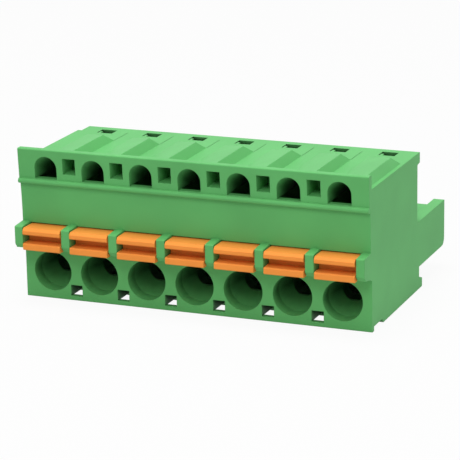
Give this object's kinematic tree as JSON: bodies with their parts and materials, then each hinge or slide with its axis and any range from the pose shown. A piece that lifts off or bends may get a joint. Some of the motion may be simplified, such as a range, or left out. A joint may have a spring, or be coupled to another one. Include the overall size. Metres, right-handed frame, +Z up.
{
  "type": "pluggable terminal block",
  "caption": "Green pluggable terminal block with spring clamps, orange release buttons and a plug side for a pin header",
  "frame": {"origin": "centre of the bounding box in plan, on the flat bottom that the block stands on", "axes": "+X along the row of poles, -Y towards the wire side, +Y towards the plug side, +Z up"},
  "size_m": [0.0364, 0.0256, 0.0155],
  "materials": {
    "housing_green": "moulded polyamide, fine satin",
    "button_orange": "moulded polyamide, fine satin",
    "contact_tin": "tin plated copper alloy",
    "spring_steel": "bare stainless spring strip"
  },
  "bodies": {
    "housing_body": {"housing": "housing_green", "contact_1": "contact_tin", "contact_2": "contact_tin", "contact_3": "contact_tin", "contact_4": "contact_tin", "contact_5": "contact_tin", "contact_6": "contact_tin", "contact_7": "contact_tin", "clamp_spring_1": "spring_steel", "clamp_spring_2": "spring_steel", "clamp_spring_3": "spring_steel", "clamp_spring_4": "spring_steel", "clamp_spring_5": "spring_steel", "clamp_spring_6": "spring_steel", "clamp_spring_7": "spring_steel"},
    "button_1": {"release_button_1": "button_orange"},
    "button_2": {"release_button_2": "button_orange"},
    "button_3": {"release_button_3": "button_orange"},
    "button_4": {"release_button_4": "button_orange"},
    "button_5": {"release_button_5": "button_orange"},
    "button_6": {"release_button_6": "button_orange"},
    "button_7": {"release_button_7": "button_orange"}
  },
  "joints": [
    {"name": "press_1", "type": "slide", "parent": "housing_body", "child": "button_1", "axis": [0, 1, 0], "range_m": [0, 0.0012], "stiffness_N_per_m": 60, "springref_m": -0.001, "deforming": ["clamp_spring_1"]},
    {"name": "press_2", "type": "slide", "parent": "housing_body", "child": "button_2", "axis": [0, 1, 0], "range_m": [0, 0.0012], "stiffness_N_per_m": 60, "springref_m": -0.001, "deforming": ["clamp_spring_2"]},
    {"name": "press_3", "type": "slide", "parent": "housing_body", "child": "button_3", "axis": [0, 1, 0], "range_m": [0, 0.0012], "stiffness_N_per_m": 60, "springref_m": -0.001, "deforming": ["clamp_spring_3"]},
    {"name": "press_4", "type": "slide", "parent": "housing_body", "child": "button_4", "axis": [0, 1, 0], "range_m": [0, 0.0012], "stiffness_N_per_m": 60, "springref_m": -0.001, "deforming": ["clamp_spring_4"]},
    {"name": "press_5", "type": "slide", "parent": "housing_body", "child": "button_5", "axis": [0, 1, 0], "range_m": [0, 0.0012], "stiffness_N_per_m": 60, "springref_m": -0.001, "deforming": ["clamp_spring_5"]},
    {"name": "press_6", "type": "slide", "parent": "housing_body", "child": "button_6", "axis": [0, 1, 0], "range_m": [0, 0.0012], "stiffness_N_per_m": 60, "springref_m": -0.001, "deforming": ["clamp_spring_6"]},
    {"name": "press_7", "type": "slide", "parent": "housing_body", "child": "button_7", "axis": [0, 1, 0], "range_m": [0, 0.0012], "stiffness_N_per_m": 60, "springref_m": -0.001, "deforming": ["clamp_spring_7"]}
  ]
}
